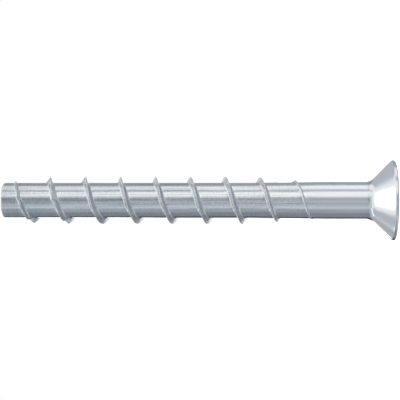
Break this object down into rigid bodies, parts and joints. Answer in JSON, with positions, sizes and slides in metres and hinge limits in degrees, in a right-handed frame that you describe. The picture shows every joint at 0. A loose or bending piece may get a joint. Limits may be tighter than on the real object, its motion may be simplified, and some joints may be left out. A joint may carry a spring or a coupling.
{
  "type": "countersunk concrete screw",
  "caption": "Countersunk concrete screw with a blunt tip, a coarse right-handed cutting ridge that starts with saw teeth, a plain shank and a six-lobe drive recess in its flat head.",
  "frame": {"origin": "centre of the head's flat face, on which the screw stands", "axes": "+Z along the screw's axis, from the head to the tip; +X and +Y lie in the head's face"},
  "size_m": [0.0216, 0.0216, 0.105],
  "materials": {
    "zinc_plated_steel": "bright blue zinc plating"
  },
  "bodies": {
    "root": {"concrete_screw": "zinc_plated_steel"}
  },
  "joints": []
}
